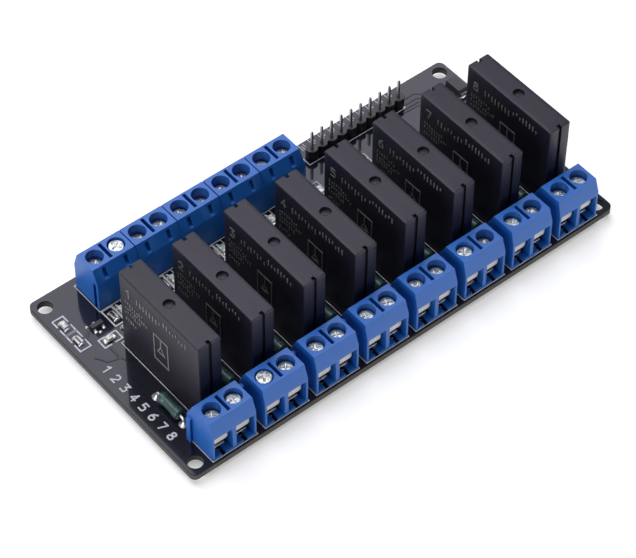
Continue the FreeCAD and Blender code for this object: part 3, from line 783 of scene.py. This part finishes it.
# Solder: each lead that goes through the board stands in a bright concave cone of solder on a
# round tinned pad below, and the wires of the fusible resistors have a small collar on top too.
relay_lead_steps = np.array([-10.16, -2.54, 7.62, 10.16]) * MM
pin_from_screw = 0.5 * MM
wire_foot, relay_foot, contact_foot, header_foot = 1.0 * MM, 1.05 * MM, 1.3 * MM, 0.9 * MM
cone_neck, cone_height = 0.5 * MM, 1.05 * MM
collar_foot, collar_neck, collar_height = 1.05 * MM, 0.34 * MM, 0.9 * MM
solder = Finish("solder", Metallic=1.0)
solder_cloud = solder.noise(1600.0, 4.0, 0.6)
solder.feed("Base Color", solder.blend(solder_cloud, (0.74, 0.75, 0.75), (0.90, 0.90, 0.89)))
solder.feed("Roughness", 0.26 + solder_cloud * 0.24)
solder.emboss(solder_cloud, 0.02 * MM)


def fillet(foot, neck, height, up, sides=18):
    """A concave cone: its radius falls with the square of what is left of the way up its lead."""
    share = np.linspace(0, 1, 7)
    radius = neck + (foot - neck) * (1 - share) ** 2
    radius[-1] = neck * 0.6
    angle = np.linspace(0, 2 * math.pi, sides, endpoint=False)
    level = up * share * height
    rings = np.stack([radius[:, None] * np.cos(angle), up * radius[:, None] * np.sin(angle),
                      np.repeat(level[:, None], sides, 1)], -1)
    base = rings[:1].copy()
    base[..., 2] -= up * 2 * sunk
    return skin(np.concatenate([base, rings]))


through = [(x, y, wire_foot) for x, y in joints]
for x in relay_middle[:, 0]:
    through += [(x, relay_middle[0, 1] + step, relay_foot) for step in relay_lead_steps]
for node, row_y in (("output_contacts", output_y + pin_from_screw),
                    ("input_contacts", input_y - pin_from_screw)):
    through += [((low[0] + high[0]) / 2, row_y, contact_foot) for low, high in solids_of(node)]
for low, high in solids_of("pin_header_pins"):
    through.append(((low[0] + high[0]) / 2, (low[1] + high[1]) / 2, header_foot))
cones = []
for x, y, foot in through:
    cones += placed(fillet(foot, cone_neck, cone_height, -1), [(x, y, board_low.z)])
for x, y in joints:
    cones += placed(fillet(collar_foot, collar_neck, collar_height, 1), [(x, y, board_top)])
make("solder_joints", cones, solder)

# Chips and lamps: resistors of ceramic with a dark glaze, and lamps with a cast lens on a white
# base. Their wrapped ends are tinned, and stand in drops of solder on small pads.
chip_end, chip_lip, body_inset = 0.42 * MM, 0.03 * MM, 0.1 * MM
chip_round, chip_end_round = 0.05 * MM, 0.07 * MM
base_round, lens_round, lamp_end_round = 0.03 * MM, 0.13 * MM, 0.05 * MM
lamp_lift, lamp_inset, lens_half, lens_inset = 0.3 * MM, 0.08 * MM, 0.58 * MM, 0.06 * MM
drop_inward, drop_outward, drop_side, drop_height = 0.32 * MM, 0.42 * MM, 0.12 * MM, 0.42 * MM
lead_drop_side, lead_drop_height, loose_drop_height = 0.16 * MM, 0.22 * MM, 0.25 * MM
loose_drops = ((-47.0, 14.6, 0.6), (-45.6, 12.05, 0.7), (38.1, 20.7, 0.9))
glaze = Finish("chip_glaze", Roughness=0.22, Coat_Weight=0.4)
glaze_cloud = glaze.noise(2600.0, 3.0, 0.6)
glaze.feed("Base Color", glaze.blend(glaze_cloud, (0.012, 0.012, 0.014), (0.030, 0.030, 0.034)))
glaze.emboss(glaze_cloud, 0.01 * MM)
white_body = Finish("lamp_base", Roughness=0.45)
white_grain = white_body.noise(3000.0, 3.0)
white_body.feed("Base Color", white_body.blend(white_grain, (0.45, 0.45, 0.42), (0.58, 0.58, 0.55)))
white_body.emboss(white_grain, 0.006 * MM)
lens = Finish("lamp_lens", Roughness=0.12)
# Painted highlight: the lens colour is mottled at random from a dark tint to pale patches, which stand in for
# glints of light in the clear lens.
lens_glint_patches = lens.ramp(lens.noise(1500.0, 3.0), 0.3, 0.62)
lens.feed("Base Color", lens.blend(lens_glint_patches, (0.16, 0.24, 0.22), (0.74, 0.76, 0.70)))
lens.emboss(lens_glint_patches, 0.01 * MM)
ends = []
for node, name in (("channel_resistors", "resistor_chips"), ("power_resistor", "power_resistor_chip")):
    bodies = []
    for low, high in solids_of(node):
        inset = (body_inset, chip_lip, 0.0)
        bodies.append(brick(low + inset, high - inset, chip_round))
        for x0, x1 in ((low[0], low[0] + chip_end), (high[0] - chip_end, high[0])):
            ends.append(brick((x0, low[1], low[2]), (x1, high[1], high[2] + chip_lip), chip_end_round))
    make(name, bodies, glaze, [node])
for node, name in (("channel_leds", "channel_lamps"), ("power_led", "power_lamp"),
                   ("status_led", "status_lamp")):
    bases, domes = [], []
    for low, high in solids_of(node):
        middle_x, base_top = (low[0] + high[0]) / 2, low[2] + lamp_lift
        bases.append(brick((low[0] + lamp_inset, low[1], low[2]),
                           (high[0] - lamp_inset, high[1], base_top), base_round))
        domes.append(brick((middle_x - lens_half, low[1] + lens_inset, base_top),
                           (middle_x + lens_half, high[1] - lens_inset, high[2]), lens_round))
        for x0, x1 in ((low[0], low[0] + chip_end), (high[0] - chip_end, high[0])):
            ends.append(brick((x0, low[1], low[2]), (x1, high[1], base_top + chip_lip), lamp_end_round))
    make(name, bases, white_body, [node])
    make(name + "_lens", domes, lens)
dull_tin = Finish("dull_tin", Metallic=1.0)
dull_cloud = dull_tin.noise(2200.0, 4.0, 0.65)
dull_tin.feed("Base Color", dull_tin.blend(dull_cloud, (0.26, 0.24, 0.21), (0.62, 0.60, 0.56)))
dull_tin.feed("Roughness", 0.38 + dull_cloud * 0.24)
dull_tin.emboss(dull_cloud, 0.03 * MM)
make("chip_ends", ends, dull_tin)


def mound(low, high, sides=20):
    """A drop of solder: squared ovals, with the sine and cosine raised to a power below one, that
    shrink by the root of one less the square of the share of the height."""
    angle = np.linspace(0, 2 * math.pi, sides, endpoint=False)
    circle = np.column_stack([np.cos(angle), np.sin(angle)])
    low, high = np.array(low), np.array(high)
    middle, half = (low + high)[:2] / 2, (high - low)[:2] / 2
    oval = np.sign(circle) * np.abs(circle) ** 0.7 * half
    rings = [np.column_stack([oval * math.sqrt(1 - share ** 2) + middle,
                              np.full(sides, low[2] + share * (high[2] - low[2]))])
             for share in (0.0, 0.2, 0.45, 0.7, 0.88, 0.97, 0.995)]
    return skin(rings)


drops = []
for node in ("channel_resistors", "power_resistor", "channel_leds", "power_led", "status_led"):
    for low, high in solids_of(node):
        axis = 0 if high[0] - low[0] > high[1] - low[1] else 1
        for side, tip in ((-1, low[axis]), (1, high[axis])):
            drop_low, drop_high = low - drop_side, high + drop_side
            drop_low[axis], drop_high[axis] = sorted((tip - side * drop_inward, tip + side * drop_outward))
            drop_low[2], drop_high[2] = board_top - sunk, board_top + drop_height
            drops.append(mound(drop_low, drop_high))
lead_strips = ("channel_transistor_leads", "supply_transistor_leads", "protection_diode_leads")
for node in lead_strips:
    for low, high in solids_of(node):
        drops.append(mound((*(low[:2] - lead_drop_side), board_top - sunk),
                           (*(high[:2] + lead_drop_side), board_top + lead_drop_height)))
for x, y, size in loose_drops:
    drops.append(mound(((x - size / 2) * MM, (y - size / 2) * MM, board_top),
                       ((x + size / 2) * MM, (y + size / 2) * MM, board_top + loose_drop_height)))
make("chip_solder", drops, solder)

# Transistors and the protection diode: chips moulded in black epoxy on a frame of tinned strip,
# whose leads are cut, folded and soldered to the board.
epoxy = Finish("moulded_epoxy", Roughness=0.4)
epoxy_grain = epoxy.noise(4200.0, 3.0, 0.6)
epoxy.feed("Base Color", epoxy.blend(epoxy_grain, (0.016, 0.016, 0.018), (0.030, 0.030, 0.034)))
epoxy.emboss(epoxy_grain, 0.01 * MM)
softened("channel_drivers", "channel_transistors", epoxy, 0.07 * MM)
softened("supply_driver", "supply_transistor", epoxy, 0.07 * MM)
softened("diode_case", "protection_diode", epoxy, 0.12 * MM)
for node in lead_strips:
    softened(node + "_strip", node, tin, 0.04 * MM)

# Studio: a white paper floor that the cut leads stand on, soft light from behind, above, the left
# and the front, and a camera at the photograph's angle, well away and with a long lens.
floor_half, floor_glow, sky_strength = 2.0, 0.3, 0.07
paper = Finish("paper", Roughness=0.9, Emission_Strength=1.0)
camera_ray, glossy_ray, clear_ray = [paper.node("ShaderNodeLightPath", out=kind) for kind in
                                     ("Is Camera Ray", "Is Glossy Ray", "Is Transmission Ray")]
shown = (camera_ray + glossy_ray + clear_ray) * floor_glow
paper.feed("Base Color", paper.blend(paper.noise(3.0), (0.80, 0.80, 0.80), (0.84, 0.84, 0.84)))
paper.feed("Emission Color", paper.blend(shown, (0.0, 0.0, 0.0), (1.0, 1.0, 1.0)))
floor_mesh = bpy.data.meshes.new("floor")
floor_mesh.from_pydata([(x * floor_half, y * floor_half, cut_level)
                        for x, y in ((-1, -1), (1, -1), (1, 1), (-1, 1))], [], [(0, 1, 2, 3)])
floor_mesh.materials.append(paper.material)
floor = bpy.data.objects.new("floor", floor_mesh)
bpy.context.scene.collection.objects.link(floor)

world = bpy.data.worlds.new("studio")
bpy.context.scene.world = world
world.use_nodes = True
sky = world.node_tree.nodes["Background"]
sky.inputs["Strength"].default_value = sky_strength
sky.inputs["Color"].default_value = (1.0, 1.0, 1.0, 1.0)


def softbox(name, place, size, power, tint=(1.0, 1.0, 1.0)):
    """A square area lamp that looks from its place at the middle of the board."""
    lamp = bpy.data.lights.new(name, "AREA")
    lamp.color = tint
    lamp.size = size
    lamp.energy = power
    holder = bpy.data.objects.new(name, lamp)
    bpy.context.scene.collection.objects.link(holder)
    holder.location = place
    holder.rotation_euler = (-Vector(place)).to_track_quat("-Z", "Y").to_euler()


softbox("rear_softbox", (0.10, 0.64, 0.98), 1.2, 13.2, (0.885, 0.875, 1.0))
softbox("top_softbox", (0.0, 0.0, 1.3), 0.9, 5.2)
softbox("left_softbox", (-1.2, -0.1, 0.48), 0.9, 9.5)
softbox("front_softbox", (0.55, -1.2, 0.22), 0.6, 6.8)

aim = Vector((-7.678, -7.167, 6.6)) * MM
azimuth, elevation, roll, distance = -0.690240, 0.866689, 0.005695, 510.559 * MM
focal_pixels, picture_width, sensor_width = 2660.629, 636, 36.0
back = Vector((math.sin(azimuth) * math.cos(elevation), -math.cos(azimuth) * math.cos(elevation),
               math.sin(elevation)))
level_right = (-back).cross(Vector((0, 0, 1))).normalized()
level_up = level_right.cross(-back)
right = level_right * math.cos(roll) + level_up * math.sin(roll)
up = level_up * math.cos(roll) - level_right * math.sin(roll)
camera = bpy.data.cameras.new("camera")
camera.sensor_width = sensor_width
camera.lens = sensor_width * focal_pixels / picture_width
camera.clip_start = 0.01
viewer = bpy.data.objects.new("camera", camera)
bpy.context.scene.collection.objects.link(viewer)
view_turn = Matrix((right, up, back)).transposed().to_4x4()
viewer.matrix_world = Matrix.Translation(aim + back * distance) @ view_turn
bpy.context.scene.camera = viewer
bpy.context.scene.view_settings.view_transform = "Standard"
